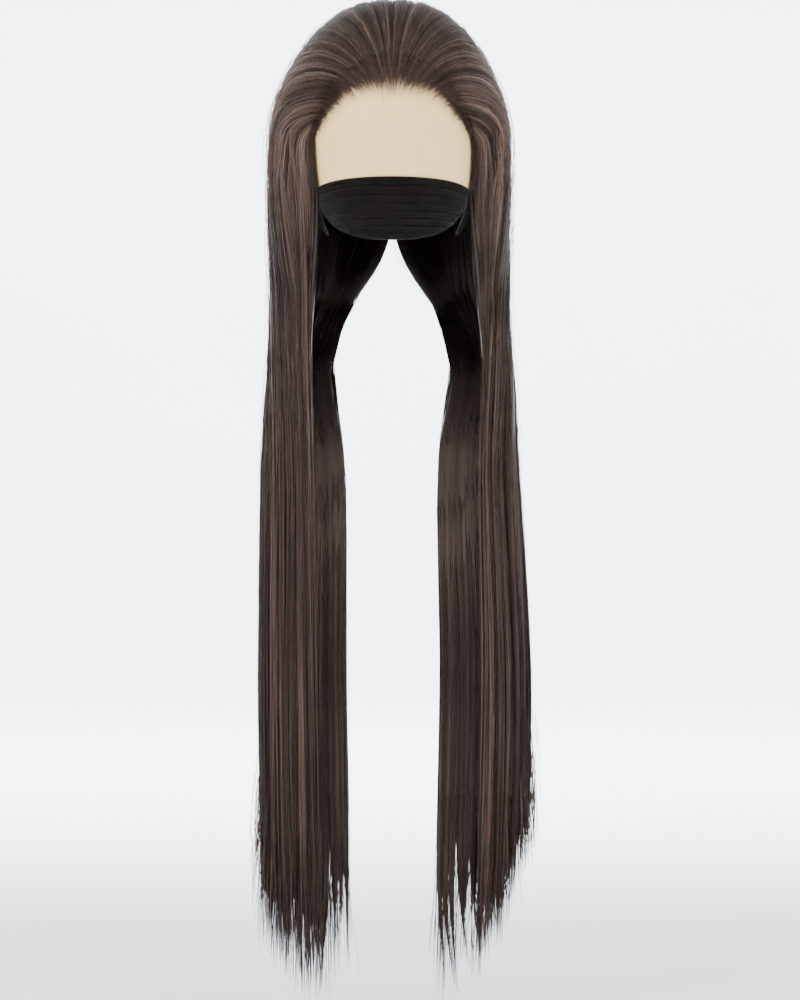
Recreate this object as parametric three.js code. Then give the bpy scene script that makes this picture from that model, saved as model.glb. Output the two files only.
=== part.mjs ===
import * as THREE from 'three';

// A lace front wig with very long straight hair, parted at the nape and brought forward over both
// shoulders. Lengths are in millimetres and angles in degrees. The front is -Y, up is +Z, and the
// origin is the inside top of the cap, where the wig sits on the head.

// The head that the cap is shaped for
const headBreadth = 152;
const headLength = 194;
const crownHeight = 118; // from the head's widest level up to the inside top of the cap
const headSquareness = 2.3; // 2 is a plain ellipsoid

// The cap, the lace and the ear tabs
const capWall = 1.3;
const laceWall = 1;
const tabWall = 1.6;
const pieceGap = 0.35; // between neighbours on the head
const hairlineDrop = 76; // from the top of the cap down to the middle of the hairline
const templeDrop = 107.5; // down to the hairline's lowest point at the temple
const templeAngle = 50; // round from the front
const seamSetback = 15; // from the hairline back to the seam of lace and cap
const laceDrop = 155; // down to the middle of the lace's cut edge
const laceSideDrop = 161; // down to its ends
const laceSideAngle = 62; // where the lace ends beside the face
const tabFrontAngle = 59;
const tabBackAngle = 74;
const tabLength = 38;
const tabTaper = 0.25; // how much shorter its back edge is
const capEarDrop = 160.5; // the cap's lower edge in front of the ear
const capNapeDrop = 192; // the cap's lower edge at the nape

// The hair
const hairLength = 875; // from the top of the cap down to the longest tip
const earDrop = 165; // from the top of the cap down to where the hair leaves the head
const chestDrop = 400; // down to where both falls hang straight in front of the shoulders
const splitDrop = 682; // down to where the ends part into locks
const faceAngle = { left: 48, right: 54 }; // where the hair beside the face hangs at that level
const hairHalfWidth = 110; // from the middle of the head out to the side of the hair
const crownLift = 9.5; // thickness of the hair on top of the cap
const sideLiftLeft = 30.5; // beside the ears
const sideLiftRight = 26;
const backLift = 21; // behind the head
const fullLiftDown = 90; // how far down from the crown the side and back lifts are reached
const rootLift = 1.2; // at the hairline
const edgeLift = 3.5; // beside the face
const rootFade = 0.35; // share of the way over the head in which it grows from the hairline
const faceFade = 0.2; // share of the places in which it grows from the edge beside the face
const fallThickness = 16; // of each layer that hangs in front
const edgeShare = 0.35; // how thick a layer still is at its edges
const lockRelief = 3.2; // height of a lock above the groove beside it
const tipThickness = 1.6;
const tipShare = 0.3; // how wide a lock still is at its tip
const rightFaceOpening = 10; // how much further out the hair beside the face hangs on the right
const locksPerBundle = 7;
const columnsPerLock = 3;

// The hairline from the middle (share 0) to the temple (share 1): how far it has come down
const hairline = [
  { share: 0, drop: 0 },
  { share: 0.22, drop: -0.02 },
  { share: 0.46, drop: 0.12 },
  { share: 0.66, drop: 0.46 },
  { share: 0.8, drop: 0.69 },
  { share: 1, drop: 1 },
];

// The lower edge of the cap behind the lace, from in front of the ear (0) to the nape (1)
const capEdge = [
  { share: 0, drop: 0 },
  { share: 0.12, drop: -0.1 },
  { share: 0.28, drop: -0.35 },
  { share: 0.45, drop: 0 },
  { share: 0.65, drop: 0.7 },
  { share: 0.85, drop: 0.97 },
  { share: 1, drop: 1 },
];

// How the hair is brushed: for a place between the face (0) and the middle of the back (1), the
// direction that its path over the head bends towards
const sweep = [
  { place: 0, round: 51, down: 96 },
  { place: 0.25, round: 52, down: 72 },
  { place: 0.5, round: 60, down: 45 },
  { place: 0.75, round: 70, down: 22 },
  { place: 1, round: 75, down: 0 },
];
const aboveEar = 84; // how far down the paths turn to hang straight above where they leave the head
const sweepCrowding = 0.75; // how much closer the paths start towards the middle of the hairline

// Sections through one side's hair below the head. A level is a share of the way from where the
// hair leaves the head down to the chest, and past 1 of the way on to the longest tip. Each is a
// curve through five places, from the edge beside the face round the outside to the edge that shows
// inside the fall. Sideways places are shares of the half width, fore and aft places are shares of
// half the head's length, and thickness is a share of the fall's. The fold column thins the hair at
// its outermost place, and the left and right columns widen each side's section.
const sections = [
  { level: 0.21, faceX: 0.63, faceY: -0.7, frontX: 0.95, frontY: -0.36, sideX: 0.95, sideY: 0.3,
    rearX: 0.6, rearY: 0.86, backX: 0.08, backY: 1.02, thickness: 1.5, fold: 1, left: 1.01, right: 0.98 },
  { level: 0.43, faceX: 0.63, faceY: -0.83, frontX: 0.9, frontY: -0.7, sideX: 0.96, sideY: 0.02,
    rearX: 0.74, rearY: 0.58, backX: 0.44, backY: 0.66, thickness: 1.25, fold: 0.9, left: 1.01, right: 0.98 },
  { level: 0.66, faceX: 0.62, faceY: -0.95, frontX: 0.88, frontY: -0.93, sideX: 0.98, sideY: -0.42,
    rearX: 0.8, rearY: 0, backX: 0.47, backY: -0.1, thickness: 1.1, fold: 0.5, left: 1.02, right: 1 },
  { level: 1, faceX: 0.6, faceY: -1.01, frontX: 0.86, frontY: -1.02, sideX: 1.02, sideY: -0.82,
    rearX: 0.82, rearY: -0.62, backX: 0.37, backY: -0.62, thickness: 1, fold: 0.26, left: 1.01, right: 0.98 },
  { level: 1.42, faceX: 0.58, faceY: -0.99, frontX: 0.87, frontY: -1.01, sideX: 1.05, sideY: -0.82,
    rearX: 0.84, rearY: -0.62, backX: 0.36, backY: -0.62, thickness: 1, fold: 0.26, left: 1, right: 1.05 },
  { level: 2, faceX: 0.54, faceY: -0.96, frontX: 0.84, frontY: -0.98, sideX: 1.02, sideY: -0.82,
    rearX: 0.82, rearY: -0.66, backX: 0.31, backY: -0.66, thickness: 0.8, fold: 0.26, left: 1, right: 1.01 },
];

// Rows of the solids: shares of the way over the head, then levels like those of the sections,
// then shares of the way from the split down to each tip
const headRows = [0, 0.06, 0.15, 0.245, 0.34, 0.435, 0.53, 0.625, 0.72, 0.815, 0.91, 1];
const fallRows = [0.09, 0.19, 0.3, 0.42, 0.54, 0.68, 0.83, 1, 1.17, 1.38];
const tipRows = [0.3, 0.62, 0.86, 1];

// The locks of each bundle, in order from the face edge: how far down each tip reaches as a share
// of the hair's length, and how far it leans outwards at the tip as a share of its own width
const locks = {
  left: {
    front: [
      { reach: 0.965, lean: -0.2 }, { reach: 0.985, lean: 0.1 }, { reach: 0.95, lean: 0 },
      { reach: 0.97, lean: 0.2 }, { reach: 0.93, lean: 0.1 }, { reach: 0.945, lean: 0.3 },
      { reach: 0.905, lean: 0.5 },
    ],
    back: [
      { reach: 0.9, lean: 0.4 }, { reach: 0.93, lean: 0.2 }, { reach: 0.96, lean: 0 },
      { reach: 0.975, lean: 0.1 }, { reach: 0.985, lean: 0 }, { reach: 1, lean: -0.1 },
      { reach: 0.975, lean: -0.2 },
    ],
  },
  right: {
    front: [
      { reach: 0.97, lean: -0.2 }, { reach: 0.955, lean: 0 }, { reach: 0.94, lean: -0.1 },
      { reach: 0.92, lean: 0.1 }, { reach: 0.9, lean: 0 }, { reach: 0.875, lean: 0.1 },
      { reach: 0.855, lean: 0.2 },
    ],
    back: [
      { reach: 0.85, lean: 0.2 }, { reach: 0.88, lean: 0 }, { reach: 0.91, lean: 0.1 },
      { reach: 0.94, lean: -0.1 }, { reach: 0.965, lean: -0.2 }, { reach: 0.985, lean: -0.3 },
      { reach: 1, lean: -0.5 },
    ],
  },
};

const halfBreadth = headBreadth / 2;
const halfLength = headLength / 2;
const headCentre = new THREE.Vector3(0, 0, -crownHeight);
const radians = THREE.MathUtils.degToRad;
const mix = THREE.MathUtils.lerp;
const smooth = THREE.MathUtils.smoothstep;

// The value of one column of a table at a key, on a smooth curve through the rows
function fromTable(rows, keyColumn, column, key) {
  let i = 0;
  while (i < rows.length - 2 && key > rows[i + 1][keyColumn]) {
    i += 1;
  }
  const slope = (j) => {
    const low = Math.max(j - 1, 0);
    const high = Math.min(j + 1, rows.length - 1);
    return (rows[high][column] - rows[low][column]) / (rows[high][keyColumn] - rows[low][keyColumn]);
  };
  const from = rows[i];
  const to = rows[i + 1];
  const span = to[keyColumn] - from[keyColumn];
  const t = THREE.MathUtils.clamp((key - from[keyColumn]) / span, 0, 1);
  return hermite(from[column], to[column], slope(i) * span, slope(i + 1) * span, t);
}

function hermite(start, end, startSlope, endSlope, t) {
  const t2 = t * t;
  const t3 = t2 * t;
  return (
    (2 * t3 - 3 * t2 + 1) * start +
    (t3 - 2 * t2 + t) * startSlope +
    (3 * t2 - 2 * t3) * end +
    (t3 - t2) * endSlope
  );
}

// A direction from the head's centre: round from the front, and down from straight up
function direction(round, down) {
  const a = radians(round);
  const b = radians(down);
  return new THREE.Vector3(Math.sin(b) * Math.sin(a), -Math.sin(b) * Math.cos(a), Math.cos(b));
}

function headRadius(dir) {
  const n = headSquareness;
  const sum =
    Math.abs(dir.x / halfBreadth) ** n +
    Math.abs(dir.y / halfLength) ** n +
    Math.abs(dir.z / crownHeight) ** n;
  return sum ** (-1 / n);
}

function onHead(dir, lift) {
  return headCentre.clone().addScaledVector(dir, headRadius(dir) + lift);
}

// The angle down from straight up at which the head's surface is a given drop below its top
function downAt(round, drop) {
  let low = 0;
  let high = 175;
  for (let i = 0; i < 40; i += 1) {
    const middle = (low + high) / 2;
    if (onHead(direction(round, middle), 0).z > -drop) {
      low = middle;
    } else {
      high = middle;
    }
  }
  return (low + high) / 2;
}

// A closed solid from cells of a sheet. A cell is four vertex names, anticlockwise from outside,
// and place(name, outer) gives the point of a vertex on the outer or the inner side. Walls close
// every edge that only one cell has.
function closedSheet(cells, place, mirrored) {
  const index = new Map();
  const points = [];
  const vertex = (name, outer) => {
    const key = `${name} ${outer}`;
    if (!index.has(key)) {
      index.set(key, points.length / 3);
      points.push(...place(name, outer).toArray());
    }
    return index.get(key);
  };
  const edges = new Set();
  for (const cell of cells) {
    cell.forEach((name, i) => edges.add(`${name}>${cell[(i + 1) % 4]}`));
  }
  const faces = [];
  const triangle = (a, b, c) => {
    if (a !== b && b !== c && c !== a) {
      faces.push([a, b, c]);
    }
  };
  const quad = (a, b, c, d) => {
    triangle(a, b, c);
    triangle(a, c, d);
  };
  const point = (i) => new THREE.Vector3().fromArray(points, 3 * i);
  const wall = (a, b, c, d) => {
    if (point(a).distanceTo(point(c)) < point(b).distanceTo(point(d))) {
      quad(a, b, c, d);
    } else {
      quad(b, c, d, a);
    }
  };
  for (const cell of cells) {
    const [a, b, c, d] = cell.map((name) => vertex(name, true));
    quad(a, b, c, d);
    const [e, f, g, h] = cell.map((name) => vertex(name, false));
    triangle(e, g, f);
    triangle(e, h, g);
    cell.forEach((from, i) => {
      const to = cell[(i + 1) % 4];
      if (!edges.has(`${to}>${from}`)) {
        wall(vertex(to, true), vertex(from, true), vertex(from, false), vertex(to, false));
      }
    });
  }
  const geometry = new THREE.BufferGeometry();
  geometry.setAttribute('position', new THREE.Float32BufferAttribute(points, 3));
  geometry.setIndex(faces.flatMap(([a, b, c]) => (mirrored ? [a, c, b] : [a, b, c])));
  geometry.computeVertexNormals();
  return geometry;
}

// The lace, the cap and the ear tabs are sheets on the head, told by how far round and down each
// vertex is. The cap's upper rows end at the seam and its lower rows at its own edge.
const laceGrid = { columns: 16, rows: 6 };
const capGrid = { columnsBehind: 24, upperRows: 6, lowerRows: 4 };
const tabGrid = { columns: 3, rows: 5 };

function hairlineDown(round) {
  const share = Math.min(Math.abs(round) / templeAngle, 1);
  const drop = mix(hairlineDrop, templeDrop, fromTable(hairline, 'share', 'drop', share));
  return downAt(round, drop);
}

function seamDown(round) {
  return hairlineDown(Math.min(Math.abs(round), laceSideAngle)) - arcAngle(seamSetback);
}

function laceEdgeDown(round) {
  const share = Math.abs(round) / laceSideAngle;
  return downAt(round, mix(laceDrop, laceSideDrop, share * share));
}

function capEdgeDown(round) {
  const share = (round - laceSideAngle) / (180 - laceSideAngle);
  return downAt(round, mix(capEarDrop, capNapeDrop, fromTable(capEdge, 'share', 'drop', share)));
}

// The angle at the head's centre of a length along its surface
function arcAngle(length) {
  return THREE.MathUtils.radToDeg(length / halfLength);
}

function headSheet(rounds, downs, wall) {
  const cells = [];
  for (let i = 0; i < rounds.length - 1; i += 1) {
    for (let j = 0; j < downs(rounds[0]).length - 1; j += 1) {
      cells.push([`${i},${j}`, `${i},${j + 1}`, `${i + 1},${j + 1}`, `${i + 1},${j}`]);
    }
  }
  const place = (name, outer) => {
    const [i, j] = name.split(',').map(Number);
    return onHead(direction(rounds[i], downs(rounds[i])[j]), outer ? wall : 0);
  };
  return closedSheet(cells, place, false);
}

function evenly(from, to, count) {
  return Array.from({ length: count + 1 }, (_, i) => mix(from, to, i / count));
}

function laceFront() {
  const rounds = evenly(-laceSideAngle, laceSideAngle, laceGrid.columns);
  const downs = (round) => evenly(seamDown(round), laceEdgeDown(round), laceGrid.rows);
  return headSheet(rounds, downs, laceWall);
}

// The cap's upper rows go all round, from the crown to the seam. Its lower rows go from beside the
// lace on one side, round the back, to beside the lace on the other.
function wigCap() {
  const gap = arcAngle(pieceGap);
  const { columnsBehind, upperRows, lowerRows } = capGrid;
  const front = evenly(-laceSideAngle - gap, laceSideAngle + gap, laceGrid.columns);
  const back = evenly(laceSideAngle + gap, 360 - laceSideAngle - gap, columnsBehind);
  const rounds = [...front, ...back.slice(1, -1)];
  const ringDown = (round) => seamDown(round > 180 ? 360 - round : round) - gap;
  const edgeDown = (round) => capEdgeDown(round > 180 ? 360 - round : Math.abs(round));
  const name = (i, j) => (j === 0 ? 'crown' : `${i % rounds.length},${j}`);
  const cells = [];
  for (let i = 0; i < rounds.length; i += 1) {
    const rows = i >= laceGrid.columns ? upperRows + lowerRows : upperRows;
    for (let j = 0; j < rows; j += 1) {
      cells.push([name(i, j), name(i, j + 1), name(i + 1, j + 1), name(i + 1, j)]);
    }
  }
  const place = (key, outer) => {
    if (key === 'crown') {
      return onHead(direction(0, 0), outer ? capWall : 0);
    }
    const [i, j] = key.split(',').map(Number);
    const round = rounds[i];
    const ring = ringDown(round);
    const down =
      j <= upperRows ? (ring * j) / upperRows : mix(ring, edgeDown(round), (j - upperRows) / lowerRows);
    return onHead(direction(round, down), outer ? capWall : 0);
  };
  return closedSheet(cells, place, false);
}

function earTab(side) {
  const rounds = evenly(tabFrontAngle, tabBackAngle, tabGrid.columns);
  const downs = (round) => {
    const laceEnd = laceEdgeDown(Math.min(round, laceSideAngle));
    const capEnd = capEdgeDown(Math.max(round, laceSideAngle));
    const start = Math.max(laceEnd, capEnd) + arcAngle(pieceGap);
    const share = (round - tabFrontAngle) / (tabBackAngle - tabFrontAngle);
    const length = tabLength * (1 - tabTaper * share * share);
    return evenly(start, start + arcAngle(length), tabGrid.rows);
  };
  const geometry = headSheet(rounds, downs, tabWall);
  if (handOf(side) < 0) {
    geometry.scale(-1, 1, 1);
    geometry.setIndex(flipped(geometry.getIndex().array));
  }
  return geometry;
}

function flipped(indices) {
  const turned = [];
  for (let i = 0; i < indices.length; i += 3) {
    turned.push(indices[i], indices[i + 2], indices[i + 1]);
  }
  return turned;
}

// The hair. A place runs from the edge beside the face (0) round the outside to the middle of the
// back (1). The front bundle has the places up to the middle one and the back bundle the rest.
const bundleSplit = 0.5;
const borderGap = 0.0012; // as a share of the places, on each side of a border between two bundles
const foldWidth = 0.16; // share of the places over which a fold of the hair is thinner

// The direction of a place's path over the head, from the hairline (0) to where it hangs (1), on
// a curve that bends towards the sweep
function sweptDirection(place, along, side) {
  const share = mix(1 - place, (1 - place) ** 2, sweepCrowding);
  const start = templeAngle * share;
  const from = direction(start, hairlineDown(start));
  const end = mix(faceAngle[side], 180, place);
  const to = direction(end, downAt(end, earDrop));
  const above = direction(end, aboveEar);
  const over = direction(
    fromTable(sweep, 'place', 'round', place),
    fromTable(sweep, 'place', 'down', place),
  );
  const rest = 1 - along;
  return from
    .multiplyScalar(rest ** 3)
    .addScaledVector(over, 3 * rest * rest * along)
    .addScaledVector(above, 3 * rest * along * along)
    .addScaledVector(to, along ** 3)
    .normalize();
}

// The same path with its shares of the way taken as shares of the angle that it turns through
const pathSteps = 40;
const turnedAngles = new Map();

function headDirection(place, along, side) {
  const key = `${side} ${place}`;
  if (!turnedAngles.has(key)) {
    const angles = [0];
    let last = sweptDirection(place, 0, side);
    for (let i = 1; i <= pathSteps; i += 1) {
      const next = sweptDirection(place, i / pathSteps, side);
      angles.push(angles[i - 1] + last.angleTo(next));
      last = next;
    }
    turnedAngles.set(key, angles);
  }
  const angles = turnedAngles.get(key);
  const wanted = along * angles[pathSteps];
  let i = 0;
  while (i < pathSteps - 1 && angles[i + 1] < wanted) {
    i += 1;
  }
  const within = (wanted - angles[i]) / (angles[i + 1] - angles[i]);
  return sweptDirection(place, (i + within) / pathSteps, side);
}

// The hair's inner side clears the cap by the gap also in the middle of its flat facets, which sink
// below a round surface, and more where a squarer head turns faster
const rowAngle = 180 / (headRows.length - 1);
const cornerTurn = (headSquareness / 2) ** 4;
const facetSag = halfLength * cornerTurn * (1 - Math.cos(radians(rowAngle / 2)));
const underside = capWall + pieceGap + facetSag;

const sideLift = { left: sideLiftLeft, right: sideLiftRight };

// The thickness of the full hair over the cap. Below the head's widest level it hangs straight.
function fullLift(dir, side) {
  if (dir.z < 0) {
    const level = new THREE.Vector3(dir.x, dir.y, 0).normalize();
    const reach = headRadius(level) + underside + fullLift(level, side);
    return reach / Math.hypot(dir.x, dir.y) - headRadius(dir) - underside;
  }
  const low = smooth(Math.acos(Math.min(dir.z, 1)), 0, radians(fullLiftDown));
  const across = dir.x * dir.x;
  const sideways = across / (across + dir.y * dir.y + 1e-9);
  return mix(crownLift, mix(backLift, sideLift[side], sideways), low);
}

// The hair is thinner near the hairline and near the edge beside the face
function hairLift(dir, place, along, side) {
  const full = fullLift(dir, side);
  const fromRoot = 1 - (1 - Math.min(along / rootFade, 1)) ** 2;
  const fromFace = 1 - (1 - Math.min(place / faceFade, 1)) ** 2;
  return mix(rootLift, mix(edgeLift, full, fromFace), fromRoot);
}

const faceOpening = { left: 0, right: rightFaceOpening };

// Sections below the head, as the curve through the five places of a row
function sectionPoint(row, place, side) {
  const reach = hairHalfWidth * row[side];
  const names = ['face', 'front', 'side', 'rear', 'back'];
  const points = names.map((name, i) => ({
    place: i / 4,
    x: row[`${name}X`] * reach + (name === 'face' ? faceOpening[side] : 0),
    y: row[`${name}Y`] * halfLength,
  }));
  return new THREE.Vector2(fromTable(points, 'place', 'x', place), fromTable(points, 'place', 'y', place));
}

function sectionNormal(row, place, side) {
  const step = 0.02;
  const before = sectionPoint(row, Math.max(place - step, 0), side);
  const after = sectionPoint(row, Math.min(place + step, 1), side);
  const along = after.sub(before).normalize();
  return new THREE.Vector2(along.y, -along.x);
}

// How thick the hair is at a place of a section. It thins towards its edges and at its fold.
function sectionThickness(row, place) {
  const toEdge = Math.min(1, 4 * Math.min(place, 1 - place));
  const atEdge = mix(edgeShare, 1, Math.sqrt(toEdge));
  const atFold = mix(1, row.fold, Math.exp(-(((place - bundleSplit) / foldWidth) ** 2)));
  return row.thickness * fallThickness * atEdge * atFold;
}

function dropAt(level) {
  return level < 1 ? mix(earDrop, chestDrop, level) : mix(chestDrop, hairLength, level - 1);
}

// A point of the hanging hair at a drop below the top of the cap, at a depth from its outer side (0)
// to its inner side (1)
function hangingPoint(place, drop, side, depth) {
  const rows = [0.9, 1].map((along) => {
    const dir = headDirection(place, along, side);
    const p = onHead(dir, underside + (1 - depth) * hairLift(dir, place, along, side));
    return { drop: -p.z, x: p.x, y: p.y };
  });
  for (const row of sections) {
    const p = sectionPoint(row, place, side);
    p.addScaledVector(sectionNormal(row, place, side), -depth * sectionThickness(row, place));
    rows.push({ drop: dropAt(row.level), x: p.x, y: p.y });
  }
  return new THREE.Vector3(fromTable(rows, 'drop', 'x', drop), fromTable(rows, 'drop', 'y', drop), -drop);
}

const thickEnough = 10; // hair thinner than this has a shallower relief

// Relief of the locks: rounded between grooves, and fading in from the root
function relief(across, along) {
  const groove = Math.abs(2 * across - 1) ** 2;
  return -lockRelief * groove * along;
}

// The rows of a bundle: over the head, down the fall to the split, and down each lock to its tip
const rowsAbove = headRows.length;
const rowsToSplit = rowsAbove + fallRows.length;

function headVertex(place, row, inLock, side, outer) {
  const along = headRows[row];
  const dir = headDirection(place, along, side);
  const lift = hairLift(dir, place, along, side) + relief(inLock, along);
  return onHead(dir, underside + (outer ? Math.max(lift, rootLift) : 0));
}

function fallVertex(place, row, inLock, side, outer) {
  const drop = row < rowsToSplit ? dropAt(fallRows[row - rowsAbove]) : splitDrop;
  const outside = hangingPoint(place, drop, side, 0);
  const inside = hangingPoint(place, drop, side, 1);
  const inward = inside.clone().sub(outside);
  const shallow = Math.min(1, inward.length() / thickEnough);
  return outer ? outside.addScaledVector(inward.normalize(), -relief(inLock, shallow)) : inside;
}

// Below the split, each lock narrows and thins towards its own tip
function lockVertex(tip, lock, across, row, toPlace, side, outer) {
  const share = tipRows[row - rowsToSplit - 1];
  const drop = mix(splitDrop, tip.reach * hairLength, share);
  const middle = (lock + 0.5) / locksPerBundle;
  const lean = (tip.lean * share * share) / locksPerBundle;
  const narrowed = middle + (across - middle) * mix(1, tipShare, share) + lean;
  const place = toPlace(THREE.MathUtils.clamp(narrowed, 0, 1));
  const outside = hangingPoint(place, drop, side, 0);
  const inside = hangingPoint(place, drop, side, 1);
  const thickness = mix(outside.distanceTo(inside), tipThickness, share * share);
  const half = outside.clone().sub(inside).setLength(thickness / 2);
  const centre = outside.lerp(inside, 0.5);
  return outer ? centre.add(half) : centre.sub(half);
}

function hairBundle(lockTable, firstPlace, lastPlace, side) {
  const start = firstPlace + (firstPlace > 0 ? borderGap : 0);
  const end = lastPlace - borderGap;
  const toPlace = (across) => mix(start, end, across);
  const columns = locksPerBundle * columnsPerLock;
  const lastRow = rowsToSplit + tipRows.length;
  const name = (column, row, lock) => `${column},${row},${row <= rowsToSplit ? 0 : lock}`;
  const cells = [];
  for (let column = 0; column < columns; column += 1) {
    const lock = Math.floor(column / columnsPerLock);
    for (let row = 0; row < lastRow; row += 1) {
      cells.push([
        name(column, row, lock),
        name(column, row + 1, lock),
        name(column + 1, row + 1, lock),
        name(column + 1, row, lock),
      ]);
    }
  }
  const place = (key, outer) => {
    const [column, row, lock] = key.split(',').map(Number);
    const across = column / columns;
    const inLock = (column % columnsPerLock) / columnsPerLock;
    let point;
    if (row < rowsAbove) {
      point = headVertex(toPlace(across), row, inLock, side, outer);
    } else if (row <= rowsToSplit) {
      point = fallVertex(toPlace(across), row, inLock, side, outer);
    } else {
      point = lockVertex(lockTable[lock], lock, across, row, toPlace, side, outer);
    }
    const clear = Math.max(point.x, pieceGap / 2);
    return new THREE.Vector3(clear * handOf(side), point.y, point.z);
  };
  return closedSheet(cells, place, handOf(side) < 0);
}

function handOf(side) {
  return side === 'left' ? -1 : 1;
}

function piece(name, geometry, colour, roughness) {
  const mesh = new THREE.Mesh(geometry, new THREE.MeshStandardMaterial({ color: colour, roughness }));
  mesh.name = name;
  return mesh;
}

const laceColour = 0xdccdb5;
const capColour = 0x2b2321;
const tabColour = 0x2e211c;
const hairColour = 0x44373a;

const wig = new THREE.Group();
wig.add(piece('lace_front', laceFront(), laceColour, 0.8));
wig.add(piece('wig_cap', wigCap(), capColour, 0.85));
for (const side of ['left', 'right']) {
  const { front, back } = locks[side];
  wig.add(piece(`ear_tab_${side}`, earTab(side), tabColour, 0.85));
  wig.add(piece(`front_hair_${side}`, hairBundle(front, 0, bundleSplit, side), hairColour, 0.4));
  wig.add(piece(`back_hair_${side}`, hairBundle(back, bundleSplit, 1, side), hairColour, 0.4));
}

export default wig;
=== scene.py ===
"""A lace front wig with very long straight hair brought forward over both shoulders.

Lengths are in millimetres until a mesh is made, and angles in degrees. The front is -Y, up is +Z,
and the origin is the inside top of the cap. The sizes and tables repeat those of the part's source.
"""
import math

import bpy
import numpy as np
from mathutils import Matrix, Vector


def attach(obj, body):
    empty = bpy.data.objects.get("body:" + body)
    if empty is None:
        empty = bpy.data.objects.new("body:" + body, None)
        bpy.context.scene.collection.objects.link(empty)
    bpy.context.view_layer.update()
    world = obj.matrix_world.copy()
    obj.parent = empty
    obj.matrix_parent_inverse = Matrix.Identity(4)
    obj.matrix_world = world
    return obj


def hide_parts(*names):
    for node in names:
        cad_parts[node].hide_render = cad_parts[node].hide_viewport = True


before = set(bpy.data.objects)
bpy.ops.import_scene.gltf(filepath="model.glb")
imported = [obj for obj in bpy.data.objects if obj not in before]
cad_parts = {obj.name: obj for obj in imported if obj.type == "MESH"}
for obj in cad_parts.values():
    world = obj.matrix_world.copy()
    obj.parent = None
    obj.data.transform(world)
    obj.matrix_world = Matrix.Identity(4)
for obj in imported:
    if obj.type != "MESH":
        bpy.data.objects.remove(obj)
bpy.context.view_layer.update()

METRES = 0.001
SEED = 20

# The head that the cap is shaped for, the cap, the lace and the tabs
HEAD_BREADTH = 152
HEAD_LENGTH = 194
CROWN_HEIGHT = 118
HEAD_SQUARENESS = 2.3
CAP_WALL = 1.3
LACE_WALL = 1
TAB_WALL = 1.6
PIECE_GAP = 0.35
HAIRLINE_DROP = 76
TEMPLE_DROP = 107.5
TEMPLE_ANGLE = 50
SEAM_SETBACK = 15
LACE_DROP = 155
LACE_SIDE_DROP = 161
LACE_SIDE_ANGLE = 62
TAB_FRONT_ANGLE = 59
TAB_BACK_ANGLE = 74
TAB_LENGTH = 38
TAB_TAPER = 0.25
CAP_EAR_DROP = 160.5
CAP_NAPE_DROP = 192

# The hair
HAIR_LENGTH = 875
EAR_DROP = 165
CHEST_DROP = 400
SPLIT_DROP = 682
FACE_ANGLE = {"left": 48, "right": 54}
HAIR_HALF_WIDTH = 110
CROWN_LIFT = 9.5
SIDE_LIFT = {"left": 30.5, "right": 26}
BACK_LIFT = 21
FULL_LIFT_DOWN = 90
ROOT_LIFT = 1.2
EDGE_LIFT = 3.5
ROOT_FADE = 0.35
FACE_FADE = 0.2
FALL_THICKNESS = 16
EDGE_SHARE = 0.35
LOCK_RELIEF = 3.2
FACE_OPENING = {"left": 0, "right": 10}
LOCKS_PER_BUNDLE = 7
BUNDLE_SPLIT = 0.5
FOLD_WIDTH = 0.16
ABOVE_EAR = 84
SWEEP_CROWDING = 0.75
UNDERSIDE = 3.4

# Share of the way to the temple, and how far the hairline has come down
HAIRLINE = ((0, 0), (0.22, -0.02), (0.46, 0.12), (0.66, 0.46), (0.8, 0.69), (1, 1))
# Share of the way from the ear to the nape, and how far the cap's edge has come down
CAP_EDGE = ((0, 0), (0.12, -0.1), (0.28, -0.35), (0.45, 0), (0.65, 0.7), (0.85, 0.97), (1, 1))
# Place, and how far round and down its path bends towards
SWEEP = ((0, 51, 96), (0.25, 52, 72), (0.5, 60, 45), (0.75, 70, 22), (1, 75, 0))
# Level, x of the five places, y of the five places, thickness, fold, and each side's width
SECTIONS = (
    (0.21, (0.63, 0.95, 0.95, 0.6, 0.08), (-0.7, -0.36, 0.3, 0.86, 1.02), 1.5, 1, 1.01, 0.98),
    (0.43, (0.63, 0.9, 0.96, 0.74, 0.44), (-0.83, -0.7, 0.02, 0.58, 0.66), 1.25, 0.9, 1.01, 0.98),
    (0.66, (0.62, 0.88, 0.98, 0.8, 0.47), (-0.95, -0.93, -0.42, 0, -0.1), 1.1, 0.5, 1.02, 1),
    (1, (0.6, 0.86, 1.02, 0.82, 0.37), (-1.01, -1.02, -0.82, -0.62, -0.62), 1, 0.26, 1.01, 0.98),
    (1.42, (0.58, 0.87, 1.05, 0.84, 0.36), (-0.99, -1.01, -0.82, -0.62, -0.62), 1, 0.26, 1, 1.05),
    (2, (0.54, 0.84, 1.02, 0.82, 0.31), (-0.96, -0.98, -0.82, -0.66, -0.66), 0.8, 0.26, 1, 1.01),
)
# Reach and lean of each lock's tip, from the face edge on
LOCKS = {
    ("left", "front"): (
        (0.965, -0.2), (0.985, 0.1), (0.95, 0), (0.97, 0.2), (0.93, 0.1), (0.945, 0.3), (0.905, 0.5),
    ),
    ("left", "back"): (
        (0.9, 0.4), (0.93, 0.2), (0.96, 0), (0.975, 0.1), (0.985, 0), (1, -0.1), (0.975, -0.2),
    ),
    ("right", "front"): (
        (0.97, -0.2), (0.955, 0), (0.94, -0.1), (0.92, 0.1), (0.9, 0), (0.875, 0.1), (0.855, 0.2),
    ),
    ("right", "back"): (
        (0.85, 0.2), (0.88, 0), (0.91, 0.1), (0.94, -0.1), (0.965, -0.2), (0.985, -0.3), (1, -0.5),
    ),
}

CENTRE = np.array([0, 0, -CROWN_HEIGHT], float)
SIDES = ("left", "right")
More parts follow.
